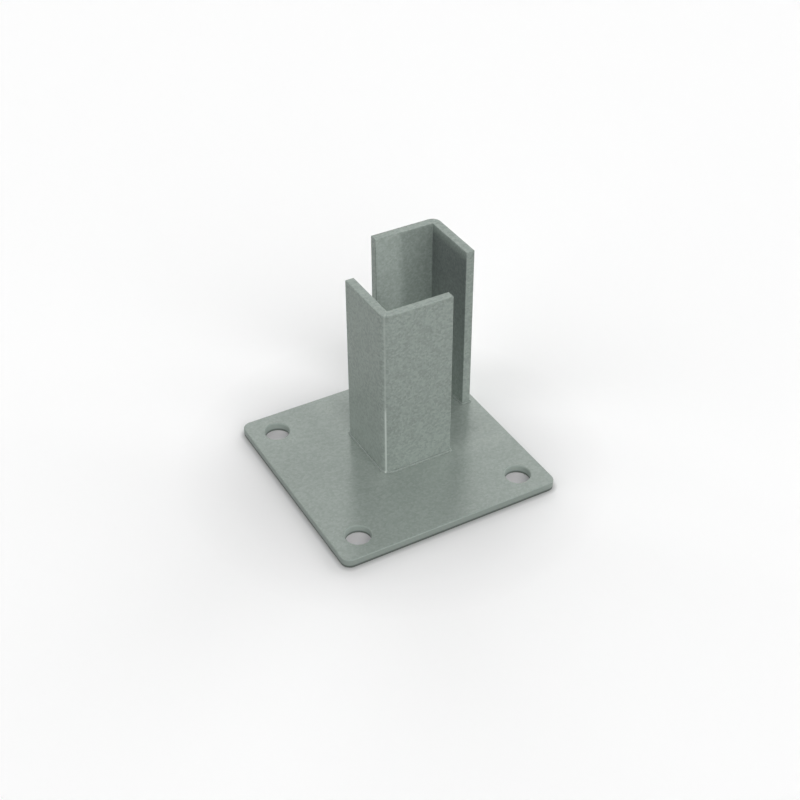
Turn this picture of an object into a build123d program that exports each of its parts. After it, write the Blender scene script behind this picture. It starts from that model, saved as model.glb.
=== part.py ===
from build123d import *
import os

# Column base plate of galvanised steel for a square post that stands at the corner of a slab.
# A square plate is anchored through holes at three corners. Over its fourth corner two pressed
# angles stand on it and face each other, so that they hold the post by two opposite corners and
# leave the other two open. A slim weld runs all round the foot of each angle.
#
# Frame: the origin is the centre of the plate's underside, +Z is up, +X runs along the front edge
# and +Y along the left edge. The socket lies towards +X and +Y. Lengths are in millimetres.

# Base plate
PLATE_WIDTH = 125.0  # along X
PLATE_DEPTH = 125.0  # along Y
PLATE_THICKNESS = 5.0
PLATE_CORNER_RADIUS = 5.0
PLATE_EDGE_RADIUS = 0.6  # rounding of the sheared edges under the zinc

# Anchor holes, for M12 anchors
HOLE_DIAMETER = 13.5
HOLE_INSET = 15.0  # from both edges of the plate to the hole's axis
HOLE_CHAMFER = 0.5  # deburring at both mouths

# Socket
POST_WIDTH = 60.0
POST_CLEARANCE = 1.0  # between the post and the angles, on each side
SOCKET_MARGIN = 4.0  # from the rear angle's outer faces to the plate's back edges

# Pressed angles
FLANGE_LENGTH = 40.0  # outside, from the heel to the free edge
FLANGE_THICKNESS = 5.0
ANGLE_HEIGHT = 99.0  # above the plate
BEND_OUTER_RADIUS = 5.0
BEND_INNER_RADIUS = 0.5
FLANGE_EDGE_RADIUS = 0.4  # rounding of the cut edges under the zinc

# Weld round each foot
WELD_LEG = 1.0
WELD_CROWN_RADIUS = 0.8 * WELD_LEG

SOCKET_WIDTH = POST_WIDTH + 2 * (POST_CLEARANCE + FLANGE_THICKNESS)
REAR_HEEL = (PLATE_WIDTH / 2 - SOCKET_MARGIN, PLATE_DEPTH / 2 - SOCKET_MARGIN)
FRONT_HEEL = (REAR_HEEL[0] - SOCKET_WIDTH, REAR_HEEL[1] - SOCKET_WIDTH)

LOW_CORNER = (Align.MIN, Align.MIN)
UNDER_ORIGIN = (Align.CENTER, Align.CENTER, Align.MAX)


def hole_places():
    """Axes of the anchor holes: every corner of the plate but the one that the socket covers."""
    x = PLATE_WIDTH / 2 - HOLE_INSET
    y = PLATE_DEPTH / 2 - HOLE_INSET
    return [(-x, -y), (-x, y), (x, -y)]


def base_plate():
    """Square plate with round corners, rounded edges and the anchor holes."""
    outline = RectangleRounded(PLATE_WIDTH, PLATE_DEPTH, PLATE_CORNER_RADIUS)
    plate = extrude(outline, PLATE_THICKNESS)
    rims = plate.faces().sort_by(Axis.Z)
    plate = fillet(rims[0].edges() + rims[-1].edges(), PLATE_EDGE_RADIUS)
    radius = HOLE_DIAMETER / 2
    drill = Cylinder(radius, 2 * PLATE_THICKNESS)
    mouth = Cone(radius, radius + HOLE_CHAMFER, HOLE_CHAMFER, align=UNDER_ORIGIN)
    for x, y in hole_places():
        plate -= Pos(x, y, PLATE_THICKNESS / 2) * drill
        plate -= Pos(x, y, PLATE_THICKNESS) * mouth
        plate -= Pos(x, y, 0) * Rot(X=180) * mouth
    return plate


def angle_section(growth=0.0):
    """L section with its heel at the origin and its flanges along +X and +Y, grown on all sides."""
    length = FLANGE_LENGTH + 2 * growth
    root = FLANGE_THICKNESS + growth
    blank = Pos(-growth, -growth) * Rectangle(length, length, align=LOW_CORNER)
    section = blank - Pos(root, root) * Rectangle(length, length, align=LOW_CORNER)
    heel = section.vertices().sort_by_distance((-growth, -growth))[0]
    section = fillet(heel, BEND_OUTER_RADIUS + growth)
    inner_corner = section.vertices().sort_by_distance((root, root))[0]
    return fillet(inner_corner, BEND_INNER_RADIUS)


def pressed_angle():
    """One angle standing on the plane z = 0, with every edge but those of its foot rounded."""
    angle = extrude(angle_section(), ANGLE_HEIGHT)
    top = angle.faces().sort_by(Axis.Z)[-1]
    uprights = angle.edges().filter_by(Axis.Z)
    free_edges = uprights.group_by(Axis.X)[-1] + uprights.group_by(Axis.Y)[-1]
    return fillet(top.edges() + free_edges, FLANGE_EDGE_RADIUS)


def foot_weld():
    """Crowned bead of weld that runs all round the foot of one angle, in the corner to the plate."""
    bead = extrude(angle_section(WELD_LEG), WELD_LEG)
    bead = fillet(bead.faces().sort_by(Axis.Z)[-1].edges(), WELD_CROWN_RADIUS)
    return bead - extrude(angle_section(), ANGLE_HEIGHT)


def at_front(shape):
    """Set a shape on the plate with its heel at the socket's front corner."""
    return Pos(*FRONT_HEEL, PLATE_THICKNESS) * shape


def at_rear(shape):
    """Set a shape on the plate with its heel at the socket's rear corner, facing the front one."""
    return Pos(*REAR_HEEL, PLATE_THICKNESS) * Rot(Z=180) * shape


angle = pressed_angle()
weld = foot_weld()
parts = {
    "base_plate": base_plate(),
    "front_angle": at_front(angle),
    "rear_angle": at_rear(angle),
    "front_weld": at_front(weld),
    "rear_weld": at_rear(weld),
}

os.makedirs("parts", exist_ok=True)
for name, shape in parts.items():
    export_step(shape, f"parts/{name}.step")
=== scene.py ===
"""Looks of a column base plate: hot-dip zinc on its plate and angles, rippled welds and a plain studio.

Lengths are in metres in the frame's axes: +Z is up, +X runs along the plate's front edge and +Y along
its left edge, and the origin is the centre of the plate's underside.
"""

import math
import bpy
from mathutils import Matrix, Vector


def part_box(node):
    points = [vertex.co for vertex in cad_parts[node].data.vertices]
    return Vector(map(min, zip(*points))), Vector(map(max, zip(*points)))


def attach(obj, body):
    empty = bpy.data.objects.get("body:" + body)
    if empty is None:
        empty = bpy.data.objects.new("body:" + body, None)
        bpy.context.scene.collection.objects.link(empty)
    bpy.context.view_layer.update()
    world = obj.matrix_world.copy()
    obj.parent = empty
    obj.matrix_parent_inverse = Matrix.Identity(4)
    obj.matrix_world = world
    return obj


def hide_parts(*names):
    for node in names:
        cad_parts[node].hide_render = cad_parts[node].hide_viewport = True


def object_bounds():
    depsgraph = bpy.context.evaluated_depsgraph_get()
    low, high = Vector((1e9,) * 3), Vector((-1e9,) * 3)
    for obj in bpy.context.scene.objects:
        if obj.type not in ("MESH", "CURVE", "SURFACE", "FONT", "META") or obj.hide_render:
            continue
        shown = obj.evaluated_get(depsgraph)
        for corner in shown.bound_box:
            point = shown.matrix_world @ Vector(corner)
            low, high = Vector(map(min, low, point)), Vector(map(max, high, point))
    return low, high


bl_info = {
    "name": "Column base plate",
    "version": (1, 0, 0),
    "blender": (4, 5, 0),
    "location": "View3D > Sidebar > Base plate",
    "description": "Finishes a column base plate in hot-dip zinc, lays its welds and sets it in a studio",
    "category": "Object",
}

import bpy
from bpy.props import FloatProperty, FloatVectorProperty, PointerProperty
from bpy.types import Operator, Panel, PropertyGroup
from mathutils import Matrix, Vector, noise

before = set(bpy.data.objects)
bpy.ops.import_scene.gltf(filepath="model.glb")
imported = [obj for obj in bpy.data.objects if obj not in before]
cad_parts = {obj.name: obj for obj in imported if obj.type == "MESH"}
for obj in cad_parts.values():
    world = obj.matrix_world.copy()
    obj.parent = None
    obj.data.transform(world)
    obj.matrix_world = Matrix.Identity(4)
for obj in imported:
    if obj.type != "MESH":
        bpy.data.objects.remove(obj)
CAD_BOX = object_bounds()

MM = 0.001

PLATE_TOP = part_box("base_plate")[1].z
FRONT_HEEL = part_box("front_angle")[0]
REAR_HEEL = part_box("rear_angle")[1]
SOCKET_CENTRE = (FRONT_HEEL + REAR_HEEL) / 2
SOCKET_REACH = REAR_HEEL.x - SOCKET_CENTRE.x
FLANGE_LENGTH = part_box("front_angle")[1].x - FRONT_HEEL.x
ANGLE_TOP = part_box("front_angle")[1].z
WELD_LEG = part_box("front_weld")[1].z - PLATE_TOP

# Radius of the plate's corners, seen from above.
PLATE_CORNER = 5 * MM

# Places of a Mix node's inputs, because those for numbers and those for colours are both called A and B.
FACTOR = 0
NUMBER_A = 2
NUMBER_B = 3
COLOUR_A = 6
COLOUR_B = 7

# Distance from one node to the next in the node editor.
NODE_SPACING = 200

# Share of the mottle that comes from the fine grain, and share of the tone that comes from the drifts.
GRAIN_SHARE = 0.5
CLOUD_SHARE = 0.2

# How metallic the zinc is on the level plate, inside the socket and, dulled, everywhere else.
LEVEL_METAL = 0.2
INSIDE_METAL = 0.3
DULL_METAL = 0.08

# Roughness of the plate's glossiest and dullest drifts, and of the zinc elsewhere.
GLOSSY_DRIFT = 0.08
DULL_DRIFT = 0.18
INSIDE_ROUGHNESS = 0.16
OUTSIDE_ROUGHNESS = 0.48
EDGE_ROUGHNESS = 0.5
WELD_ROUGHNESS = 0.5

# Specular level of the angles and the welds, whose rough skin mirrors less.
ROUGH_SPECULAR = 0.1

# Painted light along the socket's outline on the plate, against the shade at the feet: how far to each
# side, and how much paler.
PLATE_FOOT_LIGHT_WIDTH = 16 * MM
PLATE_FOOT_LIGHT_TONE = 0.28

# How far a face of the plate points up or down for it to be level, and to be a cut edge.
LEVEL_FACE = 0.95
CUT_FACE = 0.6

# Heights on the plate's cut edges at which the darker rim, where the steel tore and with painted contact
# shade, begins, and below which it is full.
TORN_SHADE_TOP = 2.1 * MM
TORN_SHADE_FULL = 1.1 * MM

# Depths behind the angles' outer faces: of the painted bend highlight at most, and of the socket's
# inside.
BEND_DEPTH = 3 * MM
INSIDE_DEPTH = 4.8 * MM

# Strength of the painted bend highlight low down and further up, and the height over which it changes.
HIGHLIGHT_BRIGHT = 0.9
HIGHLIGHT_FAINT = 0.25
HIGHLIGHT_FADE = 4 * MM

# Painted light: height over which the angles' zinc gets paler towards the foot, against the shade there,
# by how much, and how much paler it is inside the socket, against the shade in it.
WALL_FOOT_LIGHT_HEIGHT = 45 * MM
WALL_FOOT_LIGHT_TONE = 0.1
INSIDE_PAINTED_LIGHT = 0.25

# Painted shade on the socket's side walls: its strength, the depth below the angles' top at which it is
# full, and the depths between which it sets in under the rim.
WALL_SHADE_STRENGTH = 0.85
WALL_SHADE_DEPTH = 20 * MM
WALL_SHADE_RIM_START = 0.5 * MM
WALL_SHADE_RIM_FULL = 6 * MM

# Stations of a bead for each ripple, the share of a ripple by which its top leads its foot, and the slow
# swell of its size.
RIPPLE_STATIONS = 7
RIPPLE_LEAD = 0.35
SWELL_DEPTH = 0.25
SWELL_WIDTH = 4 * MM

# Painted shadow on the floor: how pale it is near the plate and right beside it, and how far each
# reaches.
NEAR_PAINTED_SHADOW = 0.85
NEAR_REACH = 55 * MM
TOUCHING_PAINTED_SHADOW = 0.7
TOUCHING_REACH = 3 * MM

# Strip along the plate's outline that is not counted as under it, and the gap below the plate.
UNDER_MARGIN = 1 * MM
FLOOR_GAP = 0.05 * MM

# Soft lamps round the part. Each has the way that its light comes from, turned from +Y towards +X,
# its height above the floor and its width, all in degrees, and its share of the light on a level face.
# The last one lights the underside through the floor.
LAMPS = {
    "front": (180, 32, 60, 0.31),
    "left": (270, 32, 60, 0.17),
    "right_low": (90, 12, 70, 0.13),
    "back_right_low": (45, 12, 70, 0.13),
    "back_low": (0, 12, 70, 0.12),
    "below": (180, -60, 60, 0.6),
}


def linear(hex_colour):
    """Linear red, green and blue of an sRGB hex colour."""
    shares = [int(hex_colour[i : i + 2], 16) / 255 for i in (0, 2, 4)]
    return tuple(c / 12.92 if c <= 0.04045 else ((c + 0.055) / 1.055) ** 2.4 for c in shares)


class ZincFinish(PropertyGroup):
    """Hot-dip zinc, dulled to a grey-green patina."""

    plate_light: FloatVectorProperty(
        name="Plate, light",
        description="Colour of the plate's brightest crystals",
        subtype="COLOR",
        min=0.0,
        max=1.0,
        default=linear("A6AFA9"),
    )
    plate_dark: FloatVectorProperty(
        name="Plate, dark",
        description="Colour of the plate's dullest crystals",
        subtype="COLOR",
        min=0.0,
        max=1.0,
        default=linear("87918B"),
    )
    angle_light: FloatVectorProperty(
        name="Angles, light",
        description="Colour of the angles' brightest crystals",
        subtype="COLOR",
        min=0.0,
        max=1.0,
        default=linear("A9B3AD"),
    )
    angle_dark: FloatVectorProperty(
        name="Angles, dark",
        description="Colour of the angles' dullest crystals",
        subtype="COLOR",
        min=0.0,
        max=1.0,
        default=linear("7D8680"),
    )
    # Painted shade: tint that multiplies the zinc on the socket's side walls darker.
    painted_wall_shade: FloatVectorProperty(
        name="Alloyed zinc",
        description="Tint that darkens the zinc on the socket's side walls",
        subtype="COLOR",
        min=0.0,
        max=1.0,
        default=linear("B7B6BB"),
    )
    weld_light: FloatVectorProperty(
        name="Welds, light",
        description="Colour of the brightest crystals on the weld beads",
        subtype="COLOR",
        min=0.0,
        max=1.0,
        default=linear("A5AEA9"),
    )
    weld_dark: FloatVectorProperty(
        name="Welds, dark",
        description="Colour of the dullest crystals on the weld beads",
        subtype="COLOR",
        min=0.0,
        max=1.0,
        default=linear("7E8781"),
    )
    cut_edge: FloatVectorProperty(
        name="Cut edges",
        description="Colour of the zinc on the plate's sheared edges and in its holes",
        subtype="COLOR",
        min=0.0,
        max=1.0,
        default=linear("8F9993"),
    )
    # Partly painted contact shade: the dark lower rim of the cut edges, also where the steel tore.
    torn_edge_and_contact_shade: FloatVectorProperty(
        name="Torn edges",
        description="Colour of the zinc on the lower rim of those edges, where the steel tore",
        subtype="COLOR",
        min=0.0,
        max=1.0,
        default=linear("5A625D"),
    )
    # Painted highlight: colour of the bright line down the outside of each bend.
    bend_highlight: FloatVectorProperty(
        name="Worn zinc",
        description="Colour of the zinc where handling has polished the bends",
        subtype="COLOR",
        min=0.0,
        max=1.0,
        default=linear("C6CFC9"),
    )
    spangle: FloatProperty(
        name="Spangle",
        description="Width of one zinc crystal",
        default=1.1 * MM,
        min=0.1 * MM,
        unit="LENGTH",
    )
    grain: FloatProperty(
        name="Grain",
        description="Width of the fine grain that breaks up reflections",
        default=0.7 * MM,
        min=0.1 * MM,
        unit="LENGTH",
    )
    plate_grain: FloatProperty(
        name="Plate's grain height",
        description="Height of the fine grain on the plate",
        default=0.05 * MM,
        min=0.0,
        precision=6,
        unit="LENGTH",
    )
    wall_grain: FloatProperty(
        name="Walls' grain height",
        description="Height of the fine grain on the angles and the welds",
        default=0.016 * MM,
        min=0.0,
        precision=6,
        unit="LENGTH",
    )
    cloud: FloatProperty(
        name="Cloud",
        description="Width of the broad drifts in the zinc's tone",
        default=10 * MM,
        min=1 * MM,
        unit="LENGTH",
    )
    # Width of the painted bend highlight.
    highlight_width: FloatProperty(
        name="Wear width",
        description="Width of the polished line along the outside of each bend",
        default=1.5 * MM,
        min=0.1 * MM,
        unit="LENGTH",
    )
    # Height up to which the painted bend highlight is bright.
    highlight_height: FloatProperty(
        name="Wear height",
        description="Height above the plate up to which the line is polished bright",
        default=43 * MM,
        min=0.0,
        unit="LENGTH",
    )


class WeldBeads(PropertyGroup):
    """Weld bead round the foot of each angle."""

    flange_thickness: FloatProperty(
        name="Flange thickness",
        description="Thickness of the angle that the bead runs round",
        default=5 * MM,
        min=1 * MM,
        unit="LENGTH",
    )
    bend_radius: FloatProperty(
        name="Bend radius",
        description="Outer radius of the angle's bend",
        default=5 * MM,
        min=1 * MM,
        unit="LENGTH",
    )
    edge_radius: FloatProperty(
        name="Edge radius",
        description="Radius of the angle's upright free edges",
        default=0.4 * MM,
        min=0.2 * MM,
        unit="LENGTH",
    )
    root: FloatProperty(
        name="Root",
        description="How far the bead bites into the plate and the angle",
        default=0.15 * MM,
        min=0.0,
        max=0.19 * MM,
        precision=5,
        unit="LENGTH",
    )
    ripple: FloatProperty(
        name="Ripple",
        description="Distance from one ripple of the bead to the next",
        default=1.3 * MM,
        min=0.4 * MM,
        unit="LENGTH",
    )
    ripple_depth: FloatProperty(
        name="Ripple depth",
        description="Depth of a ripple as a share of the bead's height",
        subtype="FACTOR",
        default=0.12,
        min=0.0,
        max=0.3,
    )


class Studio(PropertyGroup):
    """Plain pale floor, soft light and the view."""

    floor: FloatVectorProperty(
        name="Floor",
        description="Colour of the floor in the soft light that it throws back on the part",
        subtype="COLOR",
        min=0.0,
        max=1.0,
        default=(0.4, 0.4, 0.4),
    )
    # Painted shade on the floor under the plate, seen through its holes.
    painted_under_shade: FloatVectorProperty(
        name="Shaded floor",
        description="Colour of the floor under the plate, as its holes show it",
        subtype="COLOR",
        min=0.0,
        max=1.0,
        default=(0.9, 0.87, 0.89),
    )
    floor_reach: FloatProperty(
        name="Floor reach",
        description="Distance from the part to the floor's edges",
        default=4.0,
        min=1.0,
        unit="LENGTH",
    )
    light: FloatProperty(
        name="Light",
        description="Strength of all the lamps together",
        default=1.03,
        min=0.0,
    )
    azimuth: FloatProperty(
        name="Azimuth",
        description="Turn of the view from +Y towards +X",
        subtype="ANGLE",
        default=math.radians(29.125),
    )
    elevation: FloatProperty(
        name="Elevation",
        description="Height of the view above the horizon",
        subtype="ANGLE",
        default=math.radians(37.513),
    )
    roll: FloatProperty(
        name="Roll",
        description="Turn of the view about its own axis",
        subtype="ANGLE",
        default=math.radians(-0.243),
    )
    target: FloatVectorProperty(
        name="Target",
        description="Point in the middle of the view",
        subtype="TRANSLATION",
        unit="LENGTH",
        default=(11.97 * MM, 15.68 * MM, 25.42 * MM),
    )
    distance: FloatProperty(
        name="Distance",
        description="Distance from the camera to the target",
        default=748.1 * MM,
        min=0.1,
        unit="LENGTH",
    )
    lens: FloatProperty(
        name="Lens",
        description="Focal length on a sensor 36 mm wide",
        default=62.32,
        min=10.0,
        unit="CAMERA",
    )


def add_node(tree, kind, inputs=None, **settings):
    """Add a node with its settings.

    An input that is a socket is linked, one that is a node is linked from its first enabled output,
    and any other is set. Inputs go by name, or by place where several have the same name.
    """
    node = tree.nodes.new(kind)
    node.location = (NODE_SPACING * len(tree.nodes), 0)
    for name, value in settings.items():
        setattr(node, name, value)
    for name, value in (inputs or {}).items():
        if isinstance(value, bpy.types.Node):
            value = next(output for output in value.outputs if output.enabled)
        if isinstance(value, bpy.types.NodeSocket):
            tree.links.new(value, node.inputs[name])
        else:
            node.inputs[name].default_value = value
    return node


def new_material(name):
    """Empty material and its node tree."""
    material = bpy.data.materials.new(name)
    material.use_nodes = True
    material.node_tree.nodes.clear()
    return material, material.node_tree


def zinc_pattern(tree, zinc):
    """Place on the part, the zinc's tone from dark to light, its broad drifts and its fine grain.

    Real crystals of dull zinc, and its grain, are too fine to show in the render. Both are drawn as
    coarse as they need to be to show.
    """
    place = add_node(tree, "ShaderNodeTexCoord").outputs["Object"]
    spangle = add_node(
        tree,
        "ShaderNodeTexVoronoi",
        {"Vector": place, "Scale": 1 / zinc.spangle, "Smoothness": 0.5},
        feature="SMOOTH_F1",
    )
    crystal = add_node(tree, "ShaderNodeSeparateColor", {"Color": spangle.outputs["Color"]})
    grain = add_node(
        tree,
        "ShaderNodeTexNoise",
        {"Vector": place, "Scale": 1 / zinc.grain, "Detail": 2.0, "Roughness": 0.6},
    )
    cloud = add_node(
        tree,
        "ShaderNodeTexNoise",
        {"Vector": place, "Scale": 1 / zinc.cloud, "Detail": 3.0, "Roughness": 0.5},
    )
    mottle = add_node(tree, "ShaderNodeMix", {FACTOR: GRAIN_SHARE, NUMBER_A: crystal, NUMBER_B: grain})
    tone = add_node(tree, "ShaderNodeMix", {FACTOR: CLOUD_SHARE, NUMBER_A: mottle, NUMBER_B: cloud})
    return place, tone, cloud, grain


def coat_with_zinc(tree, grain, height, finish):
    """Make a shader of the zinc, with its fine grain raised to that height, the material's surface."""
    bump = add_node(tree, "ShaderNodeBump", {"Height": grain, "Strength": 1.0, "Distance": height})
    shader = add_node(tree, "ShaderNodeBsdfPrincipled", {**finish, "Normal": bump})
    add_node(tree, "ShaderNodeOutputMaterial", {"Surface": shader})


def socket_spans(tree, axes):
    """Distances from the socket's middle along X and along Y."""
    spans = []
    for name, middle in (("X", SOCKET_CENTRE.x), ("Y", SOCKET_CENTRE.y)):
        offset = add_node(tree, "ShaderNodeMath", {0: axes[name], 1: middle}, operation="SUBTRACT")
        spans.append(add_node(tree, "ShaderNodeMath", {0: offset}, operation="ABSOLUTE"))
    return spans


def dip_plate(zinc):
    """Hot-dip zinc on the flat plate, under a thin patina of zinc carbonate.

    The welded part was dipped in molten zinc. On the flat plate it froze smooth, so that the patina
    shows as a pale grey-green with a faint mottle and mirrors the angles softly. Along the angles' feet
    it is painted paler, as painted light against the shade there. On the sheared edges and in the holes
    it holds to rough steel, which leaves it darker and matt, and low on them it is darker still, partly
    where the steel tore and partly as painted contact shade.
    """
    material, tree = new_material("hot_dip_zinc_plate")
    place, tone, cloud, grain = zinc_pattern(tree, zinc)
    axes = add_node(tree, "ShaderNodeSeparateXYZ", {"Vector": place}).outputs
    spans = socket_spans(tree, axes)
    longer = add_node(tree, "ShaderNodeMath", {0: spans[0], 1: spans[1]}, operation="MAXIMUM")
    past = add_node(tree, "ShaderNodeMath", {0: longer, 1: SOCKET_REACH}, operation="SUBTRACT")
    distance = add_node(tree, "ShaderNodeMath", {0: past}, operation="ABSOLUTE")
    # Painted light: the plate is paler along the angles' feet, against the shade there.
    painted_plate_light = add_node(
        tree,
        "ShaderNodeMapRange",
        {"Value": distance, "From Min": PLATE_FOOT_LIGHT_WIDTH, "From Max": 0.0, "To Max": PLATE_FOOT_LIGHT_TONE},
        interpolation_type="SMOOTHSTEP",
    )
    tone = add_node(tree, "ShaderNodeMath", {0: tone, 1: painted_plate_light}, operation="ADD")
    skin = add_node(
        tree,
        "ShaderNodeMix",
        {FACTOR: tone, COLOUR_A: (*zinc.plate_dark, 1.0), COLOUR_B: (*zinc.plate_light, 1.0)},
        data_type="RGBA",
    )
    facing = add_node(tree, "ShaderNodeNewGeometry").outputs["Normal"]
    rise = add_node(tree, "ShaderNodeSeparateXYZ", {"Vector": facing}).outputs["Z"]
    level = add_node(tree, "ShaderNodeMath", {0: rise}, operation="ABSOLUTE")
    cut = add_node(
        tree,
        "ShaderNodeMapRange",
        {"Value": level, "From Min": LEVEL_FACE, "From Max": CUT_FACE},
        interpolation_type="SMOOTHSTEP",
    )
    # Partly painted contact shade: darker low on the cut edges and hole walls, also where the steel tore.
    torn_and_shade = add_node(
        tree,
        "ShaderNodeMapRange",
        {"Value": axes["Z"], "From Min": TORN_SHADE_TOP, "From Max": TORN_SHADE_FULL},
        interpolation_type="SMOOTHSTEP",
    )
    edge = add_node(
        tree,
        "ShaderNodeMix",
        {FACTOR: torn_and_shade, COLOUR_A: (*zinc.cut_edge, 1.0), COLOUR_B: (*zinc.torn_edge_and_contact_shade, 1.0)},
        data_type="RGBA",
    )
    gloss = add_node(
        tree,
        "ShaderNodeMix",
        {FACTOR: cloud, NUMBER_A: GLOSSY_DRIFT, NUMBER_B: DULL_DRIFT},
    )
    colour = add_node(
        tree,
        "ShaderNodeMix",
        {FACTOR: cut, COLOUR_A: skin, COLOUR_B: edge},
        data_type="RGBA",
    )
    metal = add_node(
        tree,
        "ShaderNodeMix",
        {FACTOR: cut, NUMBER_A: LEVEL_METAL, NUMBER_B: DULL_METAL},
    )
    roughness = add_node(
        tree,
        "ShaderNodeMix",
        {FACTOR: cut, NUMBER_A: gloss, NUMBER_B: EDGE_ROUGHNESS},
    )
    finish = {"Base Color": colour, "Metallic": metal, "Roughness": roughness}
    coat_with_zinc(tree, grain, zinc.plate_grain, finish)
    return material


def paint_bend_highlight(tree, zinc, skin, axes, spans):
    """Colour of the zinc with a painted highlight half-way round the outside of each bend.

    Half-way round the bend, both distances from the socket's middle are the same.
    """
    offset = add_node(tree, "ShaderNodeMath", {0: spans[0], 1: spans[1]}, operation="SUBTRACT")
    aside = add_node(tree, "ShaderNodeMath", {0: offset}, operation="ABSOLUTE")
    # The difference grows by the square root of two for each unit across the bend.
    half_width = math.sqrt(2) * zinc.highlight_width / 2
    core = half_width / 4
    line = add_node(
        tree,
        "ShaderNodeMapRange",
        {"Value": aside, "From Min": half_width, "From Max": core},
        interpolation_type="SMOOTHSTEP",
    )
    outer = SOCKET_REACH - BEND_DEPTH
    outside = add_node(tree, "ShaderNodeMath", {0: spans[0], 1: outer}, operation="GREATER_THAN")
    top = PLATE_TOP + zinc.highlight_height
    fade = add_node(
        tree,
        "ShaderNodeMapRange",
        {
            "Value": axes["Z"],
            "From Min": top - HIGHLIGHT_FADE,
            "From Max": top,
            "To Min": HIGHLIGHT_BRIGHT,
            "To Max": HIGHLIGHT_FAINT,
        },
    )
    # Painted highlight: bright low down, faint above.
    bend_highlight = add_node(tree, "ShaderNodeMath", {0: line, 1: outside}, operation="MULTIPLY")
    bend_highlight = add_node(tree, "ShaderNodeMath", {0: bend_highlight, 1: fade}, operation="MULTIPLY")
    return add_node(
        tree,
        "ShaderNodeMix",
        {FACTOR: bend_highlight, COLOUR_A: skin, COLOUR_B: (*zinc.bend_highlight, 1.0)},
        data_type="RGBA",
    )


def dip_angles(zinc):
    """Hot-dip zinc on the pressed angles, matt outside, shinier and painted paler towards the post.

    As the zinc froze it ran down the upright walls, which left a rougher skin with a clear mottle. It
    has weathered to a matt patina outside and has more of its metal shine inside the socket. Its colour
    is painted paler towards the foot and inside the socket, as painted light against the shade there, and
    painted darker on the socket's side walls, the more the higher up, up to just under the rim, as
    painted shade. A painted highlight runs down the outside of each bend.
    """
    material, tree = new_material("hot_dip_zinc_angle")
    place, tone, _, grain = zinc_pattern(tree, zinc)
    axes = add_node(tree, "ShaderNodeSeparateXYZ", {"Vector": place}).outputs
    spans = socket_spans(tree, axes)
    longer = add_node(tree, "ShaderNodeMath", {0: spans[0], 1: spans[1]}, operation="MAXIMUM")
    inner = SOCKET_REACH - INSIDE_DEPTH
    inside = add_node(tree, "ShaderNodeMath", {0: longer, 1: inner}, operation="LESS_THAN")
    # Painted light: paler towards the foot, against the shade there.
    painted_wall_light = add_node(
        tree,
        "ShaderNodeMapRange",
        {
            "Value": axes["Z"],
            "From Min": PLATE_TOP + WALL_FOOT_LIGHT_HEIGHT,
            "From Max": PLATE_TOP,
            "To Max": WALL_FOOT_LIGHT_TONE,
        },
        interpolation_type="SMOOTHSTEP",
    )
    tone = add_node(tree, "ShaderNodeMath", {0: tone, 1: painted_wall_light}, operation="ADD")
    # Painted light: paler inside the socket, against the shade in it.
    painted_inside_light = add_node(tree, "ShaderNodeMath", {0: inside, 1: INSIDE_PAINTED_LIGHT}, operation="MULTIPLY")
    tone = add_node(tree, "ShaderNodeMath", {0: tone, 1: painted_inside_light}, operation="ADD")
    skin = add_node(
        tree,
        "ShaderNodeMix",
        {FACTOR: tone, COLOUR_A: (*zinc.angle_dark, 1.0), COLOUR_B: (*zinc.angle_light, 1.0)},
        data_type="RGBA",
    )

    # Painted shade: the socket's side walls, facing along X, darker the higher up, up to just under the
    # rim.
    facing = add_node(tree, "ShaderNodeNewGeometry").outputs["Normal"]
    sideways = add_node(tree, "ShaderNodeSeparateXYZ", {"Vector": facing}).outputs["X"]
    sideways = add_node(tree, "ShaderNodeMath", {0: sideways}, operation="ABSOLUTE")
    wall = add_node(tree, "ShaderNodeMath", {0: sideways, 1: inside}, operation="MULTIPLY")
    rise = add_node(
        tree,
        "ShaderNodeMapRange",
        {
            "Value": axes["Z"],
            "From Min": PLATE_TOP,
            "From Max": ANGLE_TOP - WALL_SHADE_DEPTH,
            "To Max": WALL_SHADE_STRENGTH,
        },
    )
    rim = add_node(
        tree,
        "ShaderNodeMapRange",
        {
            "Value": axes["Z"],
            "From Min": ANGLE_TOP - WALL_SHADE_RIM_START,
            "From Max": ANGLE_TOP - WALL_SHADE_RIM_FULL,
        },
    )
    dull = add_node(tree, "ShaderNodeMath", {0: rise, 1: rim}, operation="MULTIPLY")
    dull = add_node(tree, "ShaderNodeMath", {0: dull, 1: wall}, operation="MULTIPLY")
    skin = add_node(
        tree,
        "ShaderNodeMix",
        {FACTOR: dull, COLOUR_A: skin, COLOUR_B: (*zinc.painted_wall_shade, 1.0)},
        data_type="RGBA",
        blend_type="MULTIPLY",
    )

    metal = add_node(
        tree,
        "ShaderNodeMix",
        {FACTOR: inside, NUMBER_A: DULL_METAL, NUMBER_B: INSIDE_METAL},
    )
    roughness = add_node(
        tree,
        "ShaderNodeMix",
        {FACTOR: inside, NUMBER_A: OUTSIDE_ROUGHNESS, NUMBER_B: INSIDE_ROUGHNESS},
    )
    finish = {
        "Base Color": paint_bend_highlight(tree, zinc, skin, axes, spans),
        "Metallic": metal,
        "Roughness": roughness,
        "Specular IOR Level": ROUGH_SPECULAR,
    }
    coat_with_zinc(tree, grain, zinc.wall_grain, finish)
    return material


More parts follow.
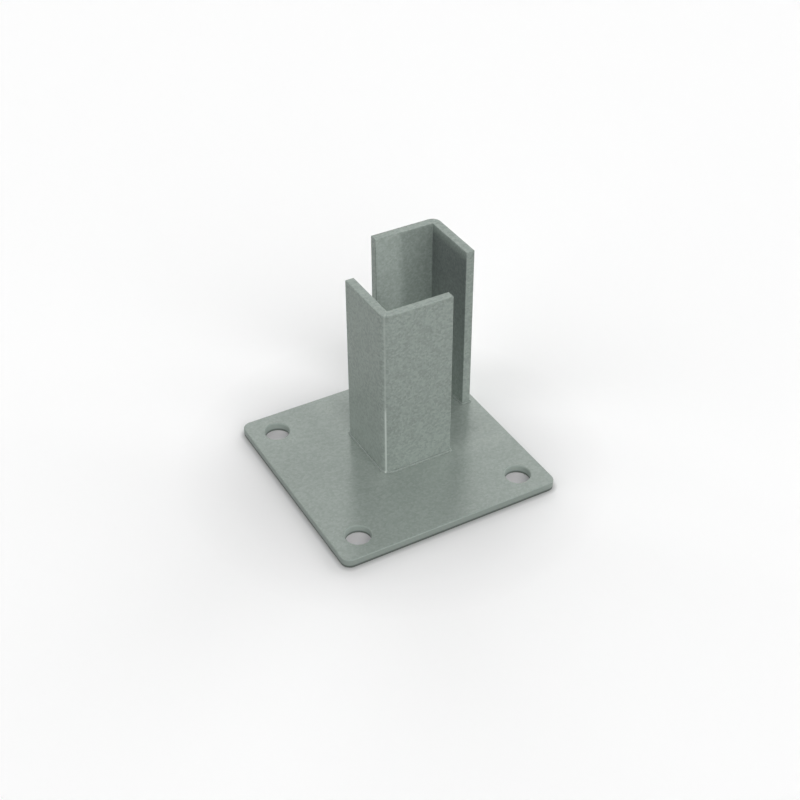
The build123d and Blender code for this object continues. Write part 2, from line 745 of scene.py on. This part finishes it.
def dip_welds(zinc):
    """Weld beads under the same zinc, which rounds off their ripples and leaves them matt.

    The painted highlight along each bend runs on over the bead.
    """
    material, tree = new_material("hot_dip_zinc_weld")
    place, tone, _, grain = zinc_pattern(tree, zinc)
    skin = add_node(
        tree,
        "ShaderNodeMix",
        {FACTOR: tone, COLOUR_A: (*zinc.weld_dark, 1.0), COLOUR_B: (*zinc.weld_light, 1.0)},
        data_type="RGBA",
    )
    axes = add_node(tree, "ShaderNodeSeparateXYZ", {"Vector": place}).outputs
    finish = {
        "Base Color": paint_bend_highlight(tree, zinc, skin, axes, socket_spans(tree, axes)),
        "Metallic": DULL_METAL,
        "Roughness": WELD_ROUGHNESS,
        "Specular IOR Level": ROUGH_SPECULAR,
    }
    coat_with_zinc(tree, grain, zinc.wall_grain, finish)
    return material


def coat(node, material):
    """Give a CAD node one material all over."""
    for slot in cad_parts[node].material_slots:
        slot.material = material


def foot_stations(beads, step):
    """Stations round the foot of an angle whose heel is at the origin, counter-clockwise from the heel.

    Each is a point on the foot's outline, the way out from the steel there, the way that the bead
    slides along the outline for each unit that it stands out, and the distance run so far.
    """
    length = FLANGE_LENGTH
    wall = beads.flange_thickness
    bend = beads.bend_radius
    edge = beads.edge_radius
    inner = Vector((wall, wall))
    # How far from the inner corner the bead begins to slide.
    reach = 3 * WELD_LEG
    # A quarter turn has its middle, its radius and the angle that it starts at. A run has its two ends,
    # and the inner corner where it meets that.
    legs = [
        ("turn", Vector((bend, bend)), bend, 180),
        ("run", Vector((bend, 0)), Vector((length - edge, 0)), None),
        ("turn", Vector((length - edge, edge)), edge, 270),
        ("run", Vector((length, edge)), Vector((length, wall - edge)), None),
        ("turn", Vector((length - edge, wall - edge)), edge, 0),
        ("run", Vector((length - edge, wall)), inner, inner),
        ("run", inner, Vector((wall, length - edge)), inner),
        ("turn", Vector((wall - edge, length - edge)), edge, 0),
        ("run", Vector((wall - edge, length)), Vector((edge, length)), None),
        ("turn", Vector((edge, length - edge)), edge, 90),
        ("run", Vector((0, length - edge)), Vector((0, bend)), None),
    ]
    stations = []
    travelled = 0.0
    for kind, start, end, extra in legs:
        if kind == "turn":
            span = (end + WELD_LEG / 2) * math.pi / 2
        else:
            span = (end - start).length
        count = max(2, round(span / step))
        for i in range(count):
            share = i / count
            slide = Vector((0, 0))
            if kind == "turn":
                angle = math.radians(extra + 90 * share)
                out = Vector((math.cos(angle), math.sin(angle)))
                point = start + end * out
            else:
                along = (end - start).normalized()
                out = Vector((along.y, -along.x))
                point = start.lerp(end, share)
                if extra is not None:
                    away = along if extra == start else -along
                    slide = away * max(0.0, 1 - (point - extra).length / reach)
            stations.append((point, out, slide, travelled + span * share))
        travelled += span
    return stations, travelled


def bead_profile(beads, points=7):
    """Section of the bead, as distances out from the steel and up from the plate, root first."""
    crown = 0.8 * WELD_LEG
    middle = WELD_LEG - crown
    section = [(-beads.root, -beads.root), (WELD_LEG, -beads.root)]
    for i in range(points):
        angle = math.pi / 2 * i / (points - 1)
        section.append((middle + crown * math.cos(angle), middle + crown * math.sin(angle)))
    section.append((-beads.root, WELD_LEG))
    return section


def weld_bead(name, heel, turn, beads, material):
    """Lay one rippled bead round the foot of an angle and let it stand for its plain CAD solid."""
    stations, around = foot_stations(beads, beads.ripple / RIPPLE_STATIONS)
    section = bead_profile(beads)
    ripples = round(around / beads.ripple)
    rotation = Matrix.Rotation(turn, 4, "Z")
    vertices = []
    for point, out, slide, travelled in stations:
        for away, up in section:
            lead = RIPPLE_LEAD * up / WELD_LEG
            wave = 0.5 - 0.5 * math.cos(2 * math.pi * (travelled / around * ripples + lead))
            swell = SWELL_DEPTH * noise.noise(Vector((point.x, point.y, heel.x)) / SWELL_WIDTH)
            shrink = 1 - beads.ripple_depth * (wave + swell + SWELL_DEPTH)
            width = away * shrink if away > 0 else away
            height = up * shrink if up > 0 else up
            spot = point + out * width + slide * width
            vertices.append(heel + rotation @ Vector((spot.x, spot.y, height)))
    size = len(section)
    faces = []
    for i in range(len(stations)):
        here = i * size
        there = (i + 1) % len(stations) * size
        for j in range(size):
            k = (j + 1) % size
            faces.append((here + j, here + k, there + k, there + j))
    mesh = bpy.data.meshes.new(name)
    mesh.from_pydata(vertices, [], faces)
    mesh.shade_smooth()
    mesh.materials.append(material)
    bead = bpy.data.objects.new(name, mesh)
    bpy.context.scene.collection.objects.link(bead)
    return bead


class BASEPLATE_OT_finish_plate(Operator):
    """Finish the plate in hot-dip zinc"""

    bl_idname = "base_plate.finish_plate"
    bl_label = "Finish the plate"

    def execute(self, context):
        coat("base_plate", dip_plate(context.scene.zinc_finish))
        return {"FINISHED"}


class BASEPLATE_OT_finish_angles(Operator):
    """Finish the two pressed angles in hot-dip zinc"""

    bl_idname = "base_plate.finish_angles"
    bl_label = "Finish the angles"

    def execute(self, context):
        material = dip_angles(context.scene.zinc_finish)
        coat("front_angle", material)
        coat("rear_angle", material)
        return {"FINISHED"}


class BASEPLATE_OT_lay_welds(Operator):
    """Lay a rippled weld bead round the foot of each angle"""

    bl_idname = "base_plate.lay_welds"
    bl_label = "Lay the welds"

    def execute(self, context):
        beads = context.scene.weld_beads
        material = dip_welds(context.scene.zinc_finish)
        places = {
            "front": (Vector((FRONT_HEEL.x, FRONT_HEEL.y, PLATE_TOP)), 0.0),
            "rear": (Vector((REAR_HEEL.x, REAR_HEEL.y, PLATE_TOP)), math.pi),
        }
        for side, (heel, turn) in places.items():
            bead = weld_bead(f"{side}_weld_bead", heel, turn, beads, material)
            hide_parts(f"{side}_weld")
            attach(bead, "root")
        return {"FINISHED"}


def seen_or_mirrored(tree):
    """1 for what the camera sees, straight or in metal or glass, and 0 for soft light."""
    rays = add_node(tree, "ShaderNodeLightPath").outputs
    mirrored = add_node(
        tree,
        "ShaderNodeMath",
        {0: rays["Is Glossy Ray"], 1: rays["Is Transmission Ray"]},
        operation="MAXIMUM",
    )
    return add_node(tree, "ShaderNodeMath", {0: rays["Is Camera Ray"], 1: mirrored}, operation="MAXIMUM")


def floor_material(studio):
    """Matt white paper that throws little light back on the part, and vanishes from below.

    It has painted shadow close round the plate and painted shade under it, where it shows through the
    holes.
    The lamp below shines through it there, on the plate's underside alone.
    """
    material, tree = new_material("matt_paper_floor")
    place = add_node(tree, "ShaderNodeTexCoord").outputs["Object"]
    radius = add_node(tree, "ShaderNodeVectorMath", {0: place}, operation="LENGTH").outputs["Value"]
    edge = CAD_BOX[1].x
    # Painted shadow on the floor round the plate, deeper right beside it.
    near = add_node(
        tree,
        "ShaderNodeMapRange",
        {"Value": radius, "From Min": edge, "From Max": edge + NEAR_REACH, "To Min": NEAR_PAINTED_SHADOW},
    )
    # Distance to the square that joins the middles of the plate's round corners.
    square = (edge - PLATE_CORNER, edge - PLATE_CORNER, 0.0)
    folded = add_node(tree, "ShaderNodeVectorMath", {0: place}, operation="ABSOLUTE")
    beyond = add_node(tree, "ShaderNodeVectorMath", {0: folded, 1: square}, operation="SUBTRACT")
    none = (0.0, 0.0, 0.0)
    beyond = add_node(tree, "ShaderNodeVectorMath", {0: beyond, 1: none}, operation="MAXIMUM")
    reach = add_node(tree, "ShaderNodeVectorMath", {0: beyond}, operation="LENGTH").outputs["Value"]
    shelter = PLATE_CORNER - UNDER_MARGIN
    under = add_node(tree, "ShaderNodeMath", {0: reach, 1: shelter}, operation="LESS_THAN")
    touching = add_node(
        tree,
        "ShaderNodeMapRange",
        {
            "Value": reach,
            "From Min": PLATE_CORNER,
            "From Max": PLATE_CORNER + TOUCHING_REACH,
            "To Min": TOUCHING_PAINTED_SHADOW,
        },
        interpolation_type="SMOOTHSTEP",
    )
    # The painted shadow's strength, as a grey.
    pale = add_node(tree, "ShaderNodeMath", {0: near, 1: touching}, operation="MULTIPLY")
    pale = add_node(tree, "ShaderNodeCombineColor", {"Red": pale, "Green": pale, "Blue": pale})
    # Painted shade under the plate, where the holes show the floor.
    white = add_node(
        tree,
        "ShaderNodeMix",
        {FACTOR: under, COLOUR_A: pale, COLOUR_B: (*studio.painted_under_shade, 1.0)},
        data_type="RGBA",
    )
    colour = add_node(
        tree,
        "ShaderNodeMix",
        {FACTOR: seen_or_mirrored(tree), COLOUR_A: (*studio.floor, 1.0), COLOUR_B: white},
        data_type="RGBA",
    )
    paper = add_node(tree, "ShaderNodeBsdfDiffuse", {"Color": colour})
    clear = add_node(tree, "ShaderNodeBsdfTransparent")
    below = add_node(tree, "ShaderNodeNewGeometry").outputs["Backfacing"]
    shadow = add_node(tree, "ShaderNodeLightPath").outputs["Is Shadow Ray"]
    through = add_node(tree, "ShaderNodeMath", {0: shadow, 1: under}, operation="MULTIPLY")
    vanish = add_node(tree, "ShaderNodeMath", {0: below, 1: through}, operation="MAXIMUM")
    shader = add_node(tree, "ShaderNodeMixShader", {0: vanish, 1: paper, 2: clear})
    add_node(tree, "ShaderNodeOutputMaterial", {"Surface": shader})
    return material


def lay_floor(studio):
    """Square floor just under the plate."""
    mesh = bpy.data.meshes.new("floor")
    corners = [
        (studio.floor_reach * x, studio.floor_reach * y, CAD_BOX[0].z - FLOOR_GAP)
        for x, y in ((-1, -1), (1, -1), (1, 1), (-1, 1))
    ]
    mesh.from_pydata(corners, [], [(0, 1, 2, 3)])
    mesh.materials.append(floor_material(studio))
    floor = bpy.data.objects.new("floor", mesh)
    bpy.context.scene.collection.objects.link(floor)


def hang_backdrop():
    """White backdrop all round, seen straight or mirrored. The lamps alone light the part."""
    world = bpy.data.worlds.new("white_backdrop")
    world.use_nodes = True
    tree = world.node_tree
    tree.nodes.clear()
    white = add_node(
        tree,
        "ShaderNodeBackground",
        {"Color": (1.0, 1.0, 1.0, 1.0), "Strength": seen_or_mirrored(tree)},
    )
    add_node(tree, "ShaderNodeOutputWorld", {"Surface": white})
    bpy.context.scene.world = world


def hang_lamps(studio):
    """Wide soft lamps, each as strong as its share of the light on the floor asks.

    The zinc mirrors the white backdrop and not the lamps, which would show as pale discs in the plate.
    """
    for name, (turn, height, width, share) in LAMPS.items():
        turn, height = math.radians(turn), math.radians(height)
        data = bpy.data.lights.new(name, "SUN")
        data.angle = math.radians(width)
        data.energy = studio.light * share * math.pi / abs(math.sin(height))
        lamp = bpy.data.objects.new(name, data)
        bpy.context.scene.collection.objects.link(lamp)
        level = math.cos(height)
        towards = Vector((math.sin(turn) * level, math.cos(turn) * level, math.sin(height)))
        lamp.rotation_euler = towards.to_track_quat("Z", "Y").to_euler()
        lamp.visible_glossy = False


def set_camera(studio):
    """Camera at the photograph's view."""
    data = bpy.data.cameras.new("view")
    data.lens = studio.lens
    data.clip_start = 10 * MM
    camera = bpy.data.objects.new("view", data)
    bpy.context.scene.collection.objects.link(camera)
    camera.matrix_world = (
        Matrix.Translation(studio.target)
        @ Matrix.Rotation(-studio.azimuth, 4, "Z")
        @ Matrix.Rotation(math.pi / 2 - studio.elevation, 4, "X")
        @ Matrix.Rotation(studio.roll, 4, "Z")
        @ Matrix.Translation((0, 0, studio.distance))
    )
    bpy.context.scene.camera = camera


class BASEPLATE_OT_set_studio(Operator):
    """Set the part on a pale floor in soft light, in the photograph's view"""

    bl_idname = "base_plate.set_studio"
    bl_label = "Set the studio"

    def execute(self, context):
        studio = context.scene.base_plate_studio
        lay_floor(studio)
        hang_backdrop()
        hang_lamps(studio)
        set_camera(studio)
        context.scene.view_settings.view_transform = "Standard"
        return {"FINISHED"}


class BASEPLATE_PT_sidebar(Panel):
    """Sizes and colours of the base plate, and the steps that make it"""

    bl_label = "Column base plate"
    bl_idname = "BASEPLATE_PT_sidebar"
    bl_space_type = "VIEW_3D"
    bl_region_type = "UI"
    bl_category = "Base plate"

    def draw(self, context):
        for group in GROUPS:
            box = self.layout.box()
            for name in GROUPS[group].__annotations__:
                box.prop(getattr(context.scene, group), name)
        for operator in OPERATORS:
            self.layout.operator(operator.bl_idname)


GROUPS = {"zinc_finish": ZincFinish, "weld_beads": WeldBeads, "base_plate_studio": Studio}
OPERATORS = (
    BASEPLATE_OT_finish_plate,
    BASEPLATE_OT_finish_angles,
    BASEPLATE_OT_lay_welds,
    BASEPLATE_OT_set_studio,
)
CLASSES = (*GROUPS.values(), *OPERATORS, BASEPLATE_PT_sidebar)


def register():
    for cls in CLASSES:
        bpy.utils.register_class(cls)
    for name, group in GROUPS.items():
        setattr(bpy.types.Scene, name, PointerProperty(type=group))


def unregister():
    for name in GROUPS:
        delattr(bpy.types.Scene, name)
    for cls in reversed(CLASSES):
        bpy.utils.unregister_class(cls)


def main():
    """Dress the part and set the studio."""
    register()
    bpy.ops.base_plate.finish_plate()
    bpy.ops.base_plate.finish_angles()
    bpy.ops.base_plate.lay_welds()
    bpy.ops.base_plate.set_studio()


if __name__ == "__main__":
    main()
